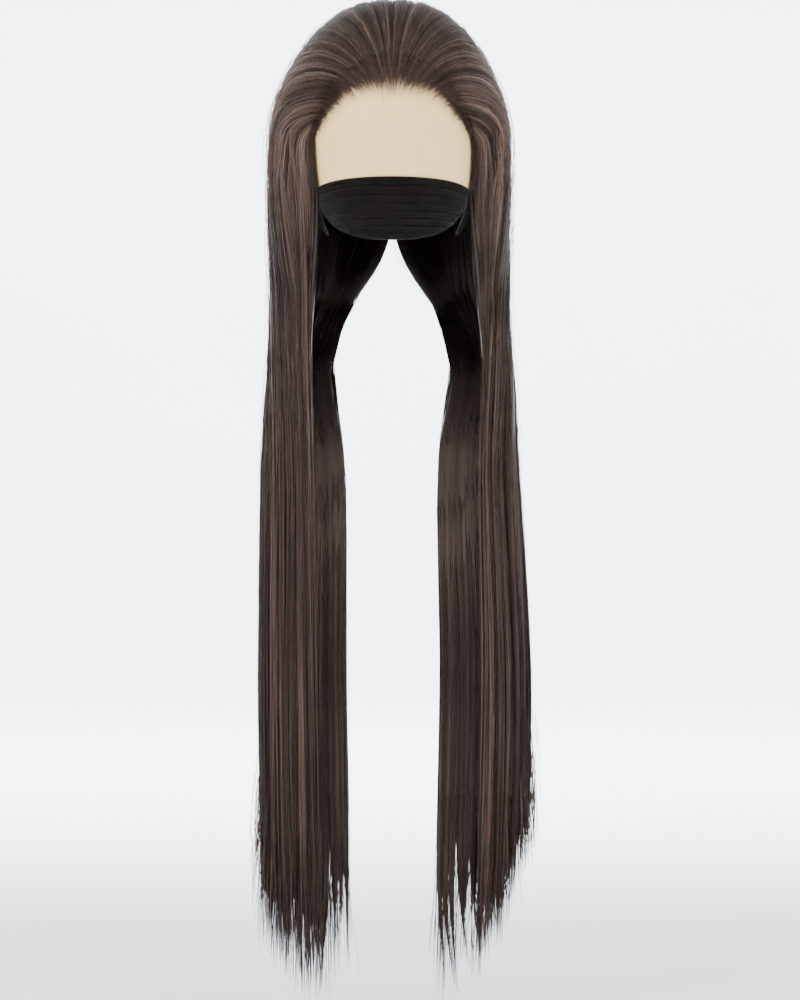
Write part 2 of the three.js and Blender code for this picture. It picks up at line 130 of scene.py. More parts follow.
# The places that each bundle runs over, from the face edge round to the back
BUNDLES = {"front": (0.0, BUNDLE_SPLIT), "back": (BUNDLE_SPLIT, 1.0)}


def mix(a, b, t):
    return a + (b - a) * t


def smooth(x, low, high):
    t = np.clip((x - low) / (high - low), 0, 1)
    return t * t * (3 - 2 * t)


def unit(vectors):
    return vectors / np.maximum(np.linalg.norm(vectors, axis=-1, keepdims=True), 1e-9)


def row_of(table, i):
    return np.take_along_axis(table, i, -1)[..., 0]


def curve_through(keys, values, x):
    """The value at x on a smooth curve through a table's rows. keys and values are arrays whose last
    axis is the table's, and x has their other axes."""
    keys, values = np.broadcast_arrays(np.asarray(keys, float), np.asarray(values, float))
    slopes = np.empty_like(values)
    slopes[..., 1:-1] = (values[..., 2:] - values[..., :-2]) / (keys[..., 2:] - keys[..., :-2])
    slopes[..., 0] = (values[..., 1] - values[..., 0]) / (keys[..., 1] - keys[..., 0])
    slopes[..., -1] = (values[..., -1] - values[..., -2]) / (keys[..., -1] - keys[..., -2])
    x = np.asarray(x, float)
    keys = np.broadcast_to(keys, x.shape + keys.shape[-1:])
    values = np.broadcast_to(values, keys.shape)
    slopes = np.broadcast_to(slopes, keys.shape)
    i = np.clip((x[..., None] > keys[..., 1:-1]).sum(-1), 0, keys.shape[-1] - 2)[..., None]
    span = row_of(keys, i + 1) - row_of(keys, i)
    t = np.clip((x - row_of(keys, i)) / span, 0, 1)
    return (
        (2 * t**3 - 3 * t**2 + 1) * row_of(values, i)
        + (t**3 - 2 * t**2 + t) * row_of(slopes, i) * span
        + (3 * t**2 - 2 * t**3) * row_of(values, i + 1)
        + (t**3 - t**2) * row_of(slopes, i + 1) * span
    )


def table_curve(table, x, k=1):
    """The value at x in column k of a table, whose first column is x."""
    rows = np.array(table, float)
    return curve_through(rows[:, 0], rows[:, k], x)


def direction(round_, down):
    a, b = np.radians(np.asarray(round_, float)), np.radians(np.asarray(down, float))
    a, b = np.broadcast_arrays(a, b)
    return np.stack([np.sin(b) * np.sin(a), -np.sin(b) * np.cos(a), np.cos(b)], -1)


def head_radius(dirs):
    n = HEAD_SQUARENESS
    sizes = np.array([HEAD_BREADTH / 2, HEAD_LENGTH / 2, CROWN_HEIGHT])
    return (np.abs(dirs / sizes) ** n).sum(-1) ** (-1 / n)


def on_head(dirs, lift):
    return CENTRE + dirs * (head_radius(dirs) + lift)[..., None]


def down_at(round_, drop):
    round_, drop = np.broadcast_arrays(np.asarray(round_, float), np.asarray(drop, float))
    low = np.zeros(round_.shape)
    high = np.full(round_.shape, 175.0)
    for _ in range(40):
        middle = (low + high) / 2
        above = on_head(direction(round_, middle), 0)[..., 2] > -drop
        low = np.where(above, middle, low)
        high = np.where(above, high, middle)
    return (low + high) / 2


def arc_angle(length):
    return math.degrees(length / (HEAD_LENGTH / 2))


def hairline_down(round_):
    share = np.minimum(np.abs(round_) / TEMPLE_ANGLE, 1)
    drop = table_curve(HAIRLINE, share)
    return down_at(round_, mix(HAIRLINE_DROP, TEMPLE_DROP, drop))


def seam_down(round_):
    return hairline_down(np.minimum(np.abs(round_), LACE_SIDE_ANGLE)) - arc_angle(SEAM_SETBACK)


def lace_edge_down(round_):
    share = np.abs(round_) / LACE_SIDE_ANGLE
    return down_at(round_, mix(LACE_DROP, LACE_SIDE_DROP, share * share))


def cap_edge_down(round_):
    share = (round_ - LACE_SIDE_ANGLE) / (180 - LACE_SIDE_ANGLE)
    edge = table_curve(CAP_EDGE, share)
    return down_at(round_, mix(CAP_EAR_DROP, CAP_NAPE_DROP, edge))


# Tables of the hair's form, worked out once for each side at even places
PLACES = 401
ALONGS = 121


def swept(place, along, side):
    share = mix(1 - place, (1 - place) ** 2, SWEEP_CROWDING)
    start = TEMPLE_ANGLE * share
    first = direction(start, hairline_down(start))
    end = mix(FACE_ANGLE[side], 180, place)
    last = direction(end, down_at(end, EAR_DROP))
    above = direction(end, ABOVE_EAR)
    over = direction(table_curve(SWEEP, place, 1), table_curve(SWEEP, place, 2))
    s = along[None, :, None]
    first, over, above, last = (d[:, None, :] for d in (first, over, above, last))
    dirs = first * (1 - s) ** 3 + 3 * over * (1 - s) ** 2 * s + 3 * above * (1 - s) * s**2 + last * s**3
    return unit(dirs)


def head_table(side):
    """Directions of the paths over the head, at even shares of the angle that each turns through."""
    place = np.linspace(0, 1, PLACES)
    fine = np.linspace(0, 1, 161)
    dirs = swept(place, fine, side)
    turns = np.arccos(np.clip((dirs[:, 1:] * dirs[:, :-1]).sum(-1), -1, 1))
    angles = np.concatenate([np.zeros((PLACES, 1)), np.cumsum(turns, 1)], 1)
    even = np.linspace(0, 1, ALONGS)
    out = np.empty((PLACES, ALONGS, 3))
    for i in range(PLACES):
        share = angles[i] / angles[i, -1]
        for k in range(3):
            out[i, :, k] = np.interp(even, share, dirs[i, :, k])
    return unit(out)


def full_lift(dirs, side):
    down = np.arccos(np.clip(dirs[..., 2], -1, 1))
    low = smooth(down, 0, math.radians(FULL_LIFT_DOWN))
    sideways = dirs[..., 0] ** 2 / (dirs[..., 0] ** 2 + dirs[..., 1] ** 2 + 1e-9)
    upper = mix(CROWN_LIFT, mix(BACK_LIFT, SIDE_LIFT[side], sideways), low)
    level = dirs * np.array([1, 1, 0])
    flat = np.linalg.norm(level, axis=-1)
    level = level / np.maximum(flat, 1e-6)[..., None]
    there = mix(BACK_LIFT, SIDE_LIFT[side], level[..., 0] ** 2)
    lower = (head_radius(level) + UNDERSIDE + there) / np.maximum(flat, 1e-6)
    lower = lower - head_radius(dirs) - UNDERSIDE
    return np.where(dirs[..., 2] < 0, lower, upper)


def hair_lift(dirs, place, along, side):
    from_root = 1 - (1 - np.minimum(along / ROOT_FADE, 1)) ** 2
    from_face = 1 - (1 - np.minimum(place / FACE_FADE, 1)) ** 2
    return mix(ROOT_LIFT, mix(EDGE_LIFT, full_lift(dirs, side), from_face), from_root)


def section_points(row, place, side):
    reach = HAIR_HALF_WIDTH * (row[5] if side == "left" else row[6])
    x = np.array(row[1], float) * reach
    x[0] += FACE_OPENING[side]
    y = np.array(row[2], float) * HEAD_LENGTH / 2
    keys = np.linspace(0, 1, 5)
    return np.stack([curve_through(keys, x, place), curve_through(keys, y, place)], -1)


def drop_at(level):
    return np.where(level < 1, mix(EAR_DROP, CHEST_DROP, level), mix(CHEST_DROP, HAIR_LENGTH, level - 1))


def hang_table(side, head):
    """Drops, and outer and inner points, that the hanging hair of each place passes through."""
    place = np.linspace(0, 1, PLACES)
    drops, outer, inner = [], [], []
    for along in (0.9, 1.0):
        dirs = head[:, int(round(along * (ALONGS - 1)))]
        lift = hair_lift(dirs, place, np.full(PLACES, along), side)
        out, into = on_head(dirs, UNDERSIDE + lift), on_head(dirs, UNDERSIDE)
        drops.append(-out[:, 2])
        outer.append(out[:, :2])
        inner.append(into[:, :2])
    to_edge = np.minimum(1, 4 * np.minimum(place, 1 - place))
    at_edge = mix(EDGE_SHARE, 1, np.sqrt(to_edge))
    for row in SECTIONS:
        p = section_points(row, place, side)
        before = section_points(row, np.maximum(place - 0.02, 0), side)
        after = section_points(row, np.minimum(place + 0.02, 1), side)
        along = unit(after - before)
        normal = np.stack([along[:, 1], -along[:, 0]], -1)
        fold = mix(1, row[4], np.exp(-(((place - BUNDLE_SPLIT) / FOLD_WIDTH) ** 2)))
        thickness = row[3] * FALL_THICKNESS * at_edge * fold
        drops.append(np.full(PLACES, float(drop_at(row[0]))))
        outer.append(p)
        inner.append(p - normal * thickness[:, None])
    return np.stack(drops, -1), np.stack(outer, -1), np.stack(inner, -1)


HEAD_TABLES = {side: head_table(side) for side in SIDES}
HANG_TABLES = {side: hang_table(side, HEAD_TABLES[side]) for side in SIDES}


def at_place(table, place):
    """A table's rows at any places, between its even ones."""
    x = np.clip(place, 0, 1) * (PLACES - 1)
    i = np.minimum(x.astype(int), PLACES - 2)
    t = (x - i).reshape(x.shape + (1,) * (table.ndim - 1))
    return table[i] * (1 - t) + table[i + 1] * t


def head_dirs(side, place, along):
    table = HEAD_TABLES[side]
    x = np.clip(place, 0, 1) * (PLACES - 1)
    y = np.clip(along, 0, 1) * (ALONGS - 1)
    i = np.minimum(x.astype(int), PLACES - 2)
    j = np.minimum(y.astype(int), ALONGS - 2)
    s, t = (x - i)[..., None], (y - j)[..., None]
    dirs = (table[i, j] * (1 - t) + table[i, j + 1] * t) * (1 - s)
    dirs += (table[i + 1, j] * (1 - t) + table[i + 1, j + 1] * t) * s
    return unit(dirs)


def in_bundle(place):
    """Share of the way across its bundle of a place."""
    return np.where(place < BUNDLE_SPLIT, place / BUNDLE_SPLIT, (place - BUNDLE_SPLIT) / (1 - BUNDLE_SPLIT))


FINE_LOCKS = 3
FINE_PER_BUNDLE = LOCKS_PER_BUNDLE * FINE_LOCKS
# How far below the split a lock starts to narrow, and the width left at the tips
NARROWING_START = 62
START_SPREAD = 45
FINE_TIP_WIDTH = 0.4
LOCK_TIP_WIDTH = 0.72
# Depths of the grooves between locks, finer locks and the finest ones, as shares of the relief
GROOVES = (0.66, 0.32, 0.16)
LOCK_SHAPES = np.random.default_rng(SEED).uniform(-1, 1, (2, 2, FINE_PER_BUNDLE, 4))


def relief(place, along):
    """Grooves between the locks and, shallower, between the finer locks on them."""
    across = in_bundle(place) * LOCKS_PER_BUNDLE
    wander = 0.12 * np.sin(along * 5 + across * 2.1)
    coarse = np.abs(2 * ((across + wander) % 1) - 1) ** 3
    fine = np.abs(2 * (((across + wander) * FINE_LOCKS + 0.3 * np.sin(along * 3.3)) % 1) - 1) ** 2
    finest = np.abs(2 * ((across * 7.3 + 0.5 * np.sin(along * 2.3 + across)) % 1) - 1)
    height = 0.16 * np.sin(across * 5.3 + 1.7 * np.sin(along * 2.7))
    height += 0.12 * np.sin(across * 13.1 + along * 4.1)
    grooves = GROOVES[0] * coarse + GROOVES[1] * fine + GROOVES[2] * finest
    return -LOCK_RELIEF * (grooves + height)


def painted_groove_shading(place, along, height, beside):
    """Painted shade in the grooves between locks and a painted highlight on their ridges, more so on the
    head than below.
    """
    strength = mix(0.34, 0.13, smooth(-height, 110, 330)) + 0.3 * beside
    return strength * (relief(place, along) / LOCK_RELIEF + 0.22)


def head_points(side, place, along, depth, proud=0.0):
    dirs = head_dirs(side, place, along)
    lift = hair_lift(dirs, place, along, side)
    grooves = relief(place, along) * np.minimum(1, along / 0.5) * (1 - depth) * np.clip(lift / 8, 0, 1)
    over = UNDERSIDE + np.maximum(lift * (1 - depth) + grooves, 0.3) + proud
    rooted = smooth(along, 0, 0.07)
    return on_head(dirs, mix(LACE_WALL + 0.1, over, rooted))


def hanging_points(side, place, drop, depth, proud=0.0):
    drops, outer, inner = HANG_TABLES[side]
    keys = at_place(drops, place)
    out_rows, in_rows = at_place(outer, place), at_place(inner, place)
    out = np.stack([curve_through(keys, out_rows[..., k, :], drop) for k in range(2)], -1)
    into = np.stack([curve_through(keys, in_rows[..., k, :], drop) for k in range(2)], -1)
    inward = into - out
    thick = np.linalg.norm(inward, axis=-1)
    unit = inward / np.maximum(thick, 1e-6)[..., None]
    shallow = np.minimum(1, thick / 10)
    grooves = relief(place, 1 + (drop - EAR_DROP) / 400) * shallow * (1 - depth)
    xy = out + inward * depth[..., None] - unit * (grooves + proud)[..., None]
    return np.concatenate([xy, -drop[..., None]], -1)


def to_side(points, side, least=0.2):
    """Points of the right side as they are on a side, kept off the middle plane."""
    x = np.maximum(points[..., 0], least)
    points = points.copy()
    points[..., 0] = x if side == "right" else -x
    return points


def lock_course(side, place, drop):
    """Below the split, hair draws together towards the tips of its lock. Gives the place there, how
    far its lock has narrowed, and the drop of its lock's tip."""
    back = place >= BUNDLE_SPLIT
    across = in_bundle(place)
    tables = [np.array(LOCKS[side, name]) for name in BUNDLES]
    lock = np.clip((across * LOCKS_PER_BUNDLE).astype(int), 0, LOCKS_PER_BUNDLE - 1)
    fine = np.clip((across * FINE_PER_BUNDLE).astype(int), 0, FINE_PER_BUNDLE - 1)
    shape = LOCK_SHAPES[SIDES.index(side)][back.astype(int), fine]
    reach = np.where(back, tables[1][lock, 0], tables[0][lock, 0]) * (1 - 0.015 * (1 + shape[..., 0]))
    lean = np.where(back, tables[1][lock, 1], tables[0][lock, 1]) + 0.5 * shape[..., 1]
    start = SPLIT_DROP + NARROWING_START + START_SPREAD * shape[..., 2]
    tip = reach * HAIR_LENGTH
    share = np.clip((drop - start) / (tip - start), 0, 1.1)
    middle = (lock + 0.5) / LOCKS_PER_BUNDLE
    fine_middle = (fine + 0.5) / FINE_PER_BUNDLE
    drawn = fine_middle + (across - fine_middle) * mix(1, FINE_TIP_WIDTH, share)
    drawn = middle + (drawn - middle) * mix(1, LOCK_TIP_WIDTH, share)
    drawn = drawn + lean * share**2 / LOCKS_PER_BUNDLE
    drawn = np.clip(drawn, 0.004, 0.996)
    there = np.where(back, BUNDLE_SPLIT + drawn * (1 - BUNDLE_SPLIT), drawn * BUNDLE_SPLIT)
    return there, share, tip


def tip_drops(side, place):
    """Drop of the tip of the lock that each place belongs to."""
    return lock_course(side, place, np.full(place.shape, float(HAIR_LENGTH)))[2]


def run_lengths(paths):
    """Length along each path up to each of its points."""
    steps = np.cumsum(np.linalg.norm(np.diff(paths, axis=1), axis=-1), 1)
    return np.concatenate([np.zeros((len(paths), 1)), steps], 1)


def new_object(name, data):
    item = bpy.data.objects.new(name, data)
    bpy.context.scene.collection.objects.link(item)
    return item


class Mesh:
    """Collects vertices, faces, bake coordinates and the values that the materials read."""

    def __init__(self):
        self.vertices, self.quads, self.triangles = [], [], []
        self.quad_uv, self.triangle_uv = [], []
        self.flow, self.tone = [], []
        self.count = 0

    def add(self, vertices, flow, tone, quads, quad_uv, triangles=None, triangle_uv=None):
        self.vertices.append(vertices.reshape(-1, 3))
        self.flow.append(flow.reshape(-1, 3))
        self.tone.append(tone.reshape(-1))
        self.quads.append(quads.reshape(-1, 4) + self.count)
        self.quad_uv.append(quad_uv.reshape(-1, 4, 2))
        if triangles is not None:
            self.triangles.append(triangles.reshape(-1, 3) + self.count)
            self.triangle_uv.append(triangle_uv.reshape(-1, 3, 2))
        self.count += len(self.vertices[-1])

    def build(self, name, material):
        vertices = np.concatenate(self.vertices) * METRES
        quads = np.concatenate(self.quads)
        triangles = np.concatenate(self.triangles) if self.triangles else np.zeros((0, 3), int)
        loops = np.concatenate([quads.ravel(), triangles.ravel()]).astype(np.int32)
        starts = np.concatenate([np.arange(len(quads)) * 4, len(quads) * 4 + np.arange(len(triangles)) * 3])
        uv = np.concatenate([u.reshape(-1, 2) for u in self.quad_uv + self.triangle_uv])
        mesh = bpy.data.meshes.new(name)
        mesh.vertices.add(len(vertices))
        mesh.vertices.foreach_set("co", vertices.astype(np.float32).ravel())
        mesh.loops.add(len(loops))
        mesh.loops.foreach_set("vertex_index", loops)
        mesh.polygons.add(len(starts))
        mesh.polygons.foreach_set("loop_start", starts.astype(np.int32))
        mesh.polygons.foreach_set("use_smooth", np.full(len(starts), True))
        layer = mesh.uv_layers.new(name="OFBake")
        layer.uv.foreach_set("vector", uv.astype(np.float32).ravel())
        flow = mesh.attributes.new("flow", "FLOAT_VECTOR", "POINT")
        flow.data.foreach_set("vector", np.concatenate(self.flow).astype(np.float32).ravel())
        tone = mesh.attributes.new("tone", "FLOAT", "POINT")
        tone.data.foreach_set("value", np.concatenate(self.tone).astype(np.float32))
        mesh.materials.append(material)
        mesh.update(calc_edges=True)
        piece = new_object(name, mesh)
        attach(piece, "root")
        return piece


def grid_quads(columns, rows):
    c, r = np.meshgrid(np.arange(columns), np.arange(rows), indexing="ij")
    a = c * (rows + 1) + r
    b = a + rows + 1
    return np.stack([a, a + 1, b + 1, b], -1).reshape(-1, 4)


def corners(*points):
    """Bake coordinates of many faces at once, from the u and v of each corner."""
    return np.stack([np.stack(np.broadcast_arrays(u, v), -1) for u, v in points], -2)


def closed_grid(mesh, outer, inner, flow, tone, tile, mirrored=False):
    """A closed sheet between two grids of points, [column, row]. tile is its part of the bake
    coordinates: u, v, width and height."""
    columns, rows = outer.shape[0] - 1, outer.shape[1] - 1
    size = outer.shape[0] * outer.shape[1]
    front = grid_quads(columns, rows)
    back = front[:, ::-1] + size
    u0, v0, width, height = tile
    u, v = np.meshgrid(np.arange(columns + 1) / columns, np.arange(rows + 1) / rows, indexing="ij")
    flat = np.stack([u, v], -1).reshape(-1, 2)
    front_uv = (u0, v0) + flat[front] * (0.5 * width, height)
    back_uv = (u0 + 0.52 * width, v0) + flat[back - size] * (0.4 * width, height)
    col = np.arange(columns + 1) * (rows + 1)
    row = np.arange(rows + 1)
    walls, wall_uv = [], []
    for k, line in enumerate((col, row + col[-1], (col + rows)[::-1], row[::-1])):
        a, b = line[:-1], line[1:]
        walls.append(np.stack([a, b, b + size, a + size], -1))
        t = np.arange(len(a)) / len(a)
        left = u0 + (0.93 + 0.017 * k) * width
        right = left + 0.014 * width
        step = height / len(a)
        low = v0 + t * height
        high = low + 0.9 * step
        wall_uv.append(corners((left, low), (left, high), (right, high), (right, low)))
    quads = np.concatenate([front, back] + walls)
    uvs = np.concatenate([front_uv, back_uv] + wall_uv)
    if mirrored:
        quads, uvs = quads[:, ::-1], uvs[:, ::-1]
    mesh.add(np.stack([outer, inner]), np.stack([flow, flow]), np.stack(tone), quads, uvs)


def add_tubes(mesh, paths, width, height, outward, flow, tone, tile):
    """Closed strands with a three-sided section, along paths [strand, point]. width and height are
    half sizes at each point, and outward is roughly away from the surface that they lie on."""
    count, steps = paths.shape[:2]
    along = unit(np.gradient(paths, axis=1))
    side = unit(np.cross(along, outward))
    up = np.cross(side, along)
    w, h = width[..., None], height[..., None]
    ring = np.stack([paths - side * w - up * h * 0.5, paths + side * w - up * h * 0.5, paths + up * h], 2)
    base = np.arange(count)[:, None, None] * steps * 3 + np.arange(steps - 1)[None, :, None] * 3
    j = np.arange(3)[None, None, :]
    a, b = base + j, base + (j + 1) % 3
    quads = np.stack([b, a, a + 3, b + 3], -1)
    u0, v0, tile_width, tile_height = tile
    i = np.arange(count)[:, None, None]
    k = np.arange(steps - 1)[None, :, None]
    left = u0 + tile_width * (i + 0.05 + 0.3 * j) / count
    right = left + tile_width * 0.28 / count
    low = v0 + tile_height * (0.01 + 0.98 * k / (steps - 1))
    high = low + tile_height * 0.98 / (steps - 1)
    quad_uv = corners((right, low), (left, low), (left, high), (right, high))
    first = (np.arange(count) * steps * 3)[:, None]
    starts = first + np.array([0, 1, 2])
    ends = first + (steps - 1) * 3 + np.array([2, 1, 0])
    triangles = np.concatenate([starts, ends])
    x = u0 + tile_width * (np.arange(count) + 0.05) / count
    wide = tile_width * 0.85 / count
    caps = []
    deep = tile_height * 0.009
    for y in (v0, v0 + tile_height * 0.991):
        caps.append(corners((x, y), (x + wide, y), (x + wide / 2, y + deep)))
    flow3 = np.repeat(flow[:, :, None, :], 3, 2)
    tone3 = np.repeat(np.broadcast_to(tone, (count, steps))[:, :, None], 3, 2)
    mesh.add(ring, flow3, tone3, quads, quad_uv, triangles, np.concatenate(caps))


# Materials


def node_tree(name):
    material = bpy.data.materials.new(name)
    material.use_nodes = True
    tree = material.node_tree
    shader = next(n for n in tree.nodes if n.type == "BSDF_PRINCIPLED")
    return material, tree, shader


def connect(tree, node, inputs):
    """Sets inputs, by name or number, to values or to other nodes' outputs."""
    for name, value in inputs.items():
        if isinstance(value, bpy.types.NodeSocket):
            tree.links.new(value, node.inputs[name])
        else:
            node.inputs[name].default_value = value


def add_node(tree, kind, inputs, **settings):
    node = tree.nodes.new("ShaderNode" + kind)
    for name, value in settings.items():
        setattr(node, name, value)
    connect(tree, node, inputs)
    return node


def math_node(tree, operation, *values):
    return add_node(tree, "Math", dict(enumerate(values)), operation=operation).outputs[0]


def attribute(tree, name, output):
    return add_node(tree, "Attribute", {}, attribute_name=name).outputs[output]


def stretched_noise(tree, scale, detail, roughness=0.5):
    """Noise over the flow coordinates, with its own scale for each of them."""
    flow = attribute(tree, "flow", "Vector")
    stretch = add_node(tree, "VectorMath", {0: flow, 1: scale}, operation="MULTIPLY")
    inputs = {"Vector": stretch.outputs[0], "Scale": 1, "Detail": detail, "Roughness": roughness}
    return add_node(tree, "TexNoise", inputs).outputs["Fac"]


def ramp(tree, value, stops):
    node = add_node(tree, "ValToRGB", {0: value})
    elements = node.color_ramp.elements
    while len(elements) < len(stops):
        elements.new(0.5)
    for element, (position, colour) in zip(elements, stops):
        element.position = position
        element.color = (*colour, 1)
    return node.outputs[0]


def bump(tree, shader, height, distance):
    node = add_node(tree, "Bump", {"Distance": distance, "Height": height})
    connect(tree, shader, {"Normal": node.outputs["Normal"]})


HAIR_STOPS = (
    (0.0, (0.0035, 0.0024, 0.0024)),
    (0.28, (0.0130, 0.0082, 0.0070)),
    (0.5, (0.0400, 0.0250, 0.0205)),
    (0.72, (0.1000, 0.0640, 0.0500)),
    (1.0, (0.2300, 0.1530, 0.1180)),
)
HAIR_BUMP = 0.0006
WARM_GLINT = (1, 0.8, 0.7, 1)


def hair_material(name, fine_share, roughness):
    """Straight fibre: fine streaks along the strands, broader tonal locks, and each strand's tone."""
    material, tree, shader = node_tree(name)
    fine = stretched_noise(tree, (1.5, 0.006, 1.0), 4, 0.65)
    broad = stretched_noise(tree, (0.12, 0.0022, 0.0), 2)
    tone = attribute(tree, "tone", "Fac")
    streaks = math_node(tree, "MULTIPLY_ADD", fine, fine_share, 0.5 - 0.5 * fine_share)
    locks = math_node(tree, "MULTIPLY_ADD", broad, 0.8, -0.42)
    value = math_node(tree, "ADD", math_node(tree, "ADD", streaks, locks), tone)
    connect(tree, shader, {
        "Base Color": ramp(tree, value, HAIR_STOPS),
        "Roughness": math_node(tree, "MULTIPLY_ADD", fine, 0.25, roughness - 0.12),
        "Specular IOR Level": 0.32,
        "Specular Tint": WARM_GLINT,
    })
    bump(tree, shader, fine, HAIR_BUMP)
    return material


# Colour of the hair that is knotted into the lace
KNOTTED = (0.2, 0.12, 0.07, 1)
# Colour, colour of its dark spots, cell in mm, roughness, depth in m, and height of sewn rows in mm
SHEET_LOOKS = {
    "lace_net": ((0.88, 0.62, 0.26), (0.76, 0.53, 0.21), 0.9, 0.75, 0.00012, 0),
    "cap_net": ((0.05, 0.035, 0.03), (0.014, 0.01, 0.009), 1.6, 0.8, 0.0006, 11),
    "tab_cloth": ((0.016, 0.009, 0.007), (0.007, 0.004, 0.003), 0.7, 0.9, 0.0002, 0),
}


def net_material(name, colour, dark, cell, roughness, depth, row):
    """Fine net: a small honeycomb of threads over softly uneven cloth. Its tone gives how closely
    hair is knotted into it, and a row height gives it sewn rows."""
    material, tree, shader = node_tree(name)
    flow = attribute(tree, "flow", "Vector")
    inputs = {"Vector": flow, "Scale": 1 / cell, "Randomness": 0.25}
    cells = add_node(tree, "TexVoronoi", inputs, voronoi_dimensions="2D", feature="DISTANCE_TO_EDGE")
    thread = ramp(tree, cells.outputs["Distance"], ((0.0, (1, 1, 1)), (0.22, (0, 0, 0))))
    uneven = stretched_noise(tree, (0.06, 0.06, 0.06), 3)
    blend = math_node(tree, "MULTIPLY_ADD", thread, 0.45, uneven)
    cloth = ramp(tree, blend, ((0.2, dark), (0.9, colour)))
    tone = attribute(tree, "tone", "Fac")
    grain = stretched_noise(tree, (1.2, 0.5, 1.0), 3, 0.7)
    near = math_node(tree, "MULTIPLY_ADD", grain, 1.1, 0.45)
    knotted = math_node(tree, "MULTIPLY", tone, near)
    knotted.node.use_clamp = True
    inputs = {"Factor": knotted, "A": cloth, "B": KNOTTED}
    shade = add_node(tree, "Mix", inputs, data_type="RGBA").outputs["Result"]
    connect(tree, shader, {"Base Color": shade, "Roughness": roughness, "Sheen Weight": 0.15})
    raised = thread
    if row:
        raised = math_node(tree, "ADD", thread, sewn_rows(tree, flow, row))
    bump(tree, shader, raised, depth)
    return material


def sewn_rows(tree, flow, row):
    """Raised bands, one for each row of sewn wefts."""
    parts = add_node(tree, "SeparateXYZ", {0: flow})
    turn = math_node(tree, "MULTIPLY", parts.outputs["Y"], 2 * math.pi / row)
    wave = math_node(tree, "SINE", turn)
    return ramp(tree, wave, ((0.3, (0, 0, 0)), (0.7, (3, 3, 3))))


# The camera and the stage, in metres, with the camera's lens and sensor in millimetres

CAMERA_PLACE = (0.007, -2.340, -0.435)
CAMERA_LENS = 93.6
CAMERA_SENSOR = 36
CAMERA_RANGE = 50
STAGE_FLOOR = -0.884
STAGE_SIDES = 64
STAGE_CURVE = 1.4
STAGE_CURVE_STEPS = 16
STAGE_WALL_RADIUS = 5.2
STAGE_WALL_HEIGHT = 4.2
WORLD_COLOUR = (0.97, 0.985, 1.0, 1)
WORLD_STRENGTH = 1.5
STAGE_TINTS = ((0.3, (0.86, 0.885, 0.915)), (0.7, (0.88, 0.90, 0.925)))
# Place, target, size, power and colour of each light
LIGHTS = {
    "key": ((-1.9, -1.5, 0.5), (0, 0, -0.3), (1.1, 1.8), 66, (1, 0.97, 0.93)),
    "fill": ((1.9, -1.5, 0.4), (0, 0, -0.4), (1.1, 1.8), 48, (1, 0.98, 0.96)),
    "backdrop": ((0, 1.2, 1.3), (0, 5.2, -0.2), (4.0, 1.2), 700, (0.92, 0.96, 1)),
}


def set_up_camera():
    data = bpy.data.cameras.new("camera")
    data.lens = CAMERA_LENS
    data.sensor_width = CAMERA_SENSOR
    data.clip_end = CAMERA_RANGE
    camera = new_object("camera", data)
    camera.location = CAMERA_PLACE
    camera.rotation_euler = (math.pi / 2, 0, 0)
    bpy.context.scene.camera = camera


def area_light(name, location, target, size, power, colour):
    data = bpy.data.lights.new(name, "AREA")
    data.shape = "RECTANGLE"
    data.size, data.size_y = size
    data.energy = power
    data.color = colour
    light = new_object(name, data)
    light.location = location
    light.rotation_euler = (Vector(target) - Vector(location)).to_track_quat("-Z", "Y").to_euler()


def stage_bowl():
    """Vertices and faces of a round floor whose rim curves up into a wall."""
    profile = [(0.01, 0), (1.5, 0), (3.0, 0)]
    for step in range(STAGE_CURVE_STEPS + 1):
        angle = math.pi / 2 * step / STAGE_CURVE_STEPS
        out, up = STAGE_CURVE * math.sin(angle), STAGE_CURVE * (1 - math.cos(angle))
        profile.append((STAGE_WALL_RADIUS - STAGE_CURVE + out, up))
    profile.append((STAGE_WALL_RADIUS, STAGE_WALL_HEIGHT))
    vertices, faces = [], [tuple(range(STAGE_SIDES))[::-1]]
    for i, (radius, height) in enumerate(profile):
        for k in range(STAGE_SIDES):
            turn = 2 * math.pi * k / STAGE_SIDES
            vertices.append((radius * math.sin(turn), radius * math.cos(turn), STAGE_FLOOR + height))
            if i:
                a, b = (i - 1) * STAGE_SIDES + k, (i - 1) * STAGE_SIDES + (k + 1) % STAGE_SIDES
                faces.append((a, b, b + STAGE_SIDES, a + STAGE_SIDES))
    return vertices, faces


def set_up_stage():
    """A pale floor that curves up into a backdrop, and soft studio light."""
    material, tree, shader = node_tree("stage_paper")
    place = add_node(tree, "TexCoord", {}).outputs["Object"]
    noise = add_node(tree, "TexNoise", {"Scale": 2.5, "Vector": place}).outputs["Fac"]
    connect(tree, shader, {"Base Color": ramp(tree, noise, STAGE_TINTS), "Roughness": 0.9})
    vertices, faces = stage_bowl()
    mesh = bpy.data.meshes.new("stage")
    mesh.from_pydata(vertices, [], faces)
    mesh.polygons.foreach_set("use_smooth", [True] * len(faces))
    mesh.materials.append(material)
    stage = new_object("stage", mesh)
    world = bpy.data.worlds.new("studio")
    world.use_nodes = True
    background = world.node_tree.nodes["Background"]
    connect(world.node_tree, background, {"Color": WORLD_COLOUR, "Strength": WORLD_STRENGTH})
    bpy.context.scene.world = world
    for name, settings in LIGHTS.items():
        area_light(name, *settings)


# The hair's bodies, which fill the space behind the strands

BODY_COLUMNS = 84
BODY_HEAD_ROWS = 56
BODY_FALL_ROWS = 60
BODY_DEPTH = 0.07
# Share of the way over the head where a body starts, and how much later it does behind
BODY_START = 0.075
BODY_START_SLANT = 0.05
BODY_TONE = -0.22
LOCK_BODY_TONE = -0.2
INNER_TONE = -0.08
# Painted shade: how much darker the hair is made on its inner side near the neck and behind the head, and
# along the edges of each body
PAINTED_SHADE_TONE = -0.3
LOCK_OVERLAP = 60
CAP_CLEARANCE = 2.4
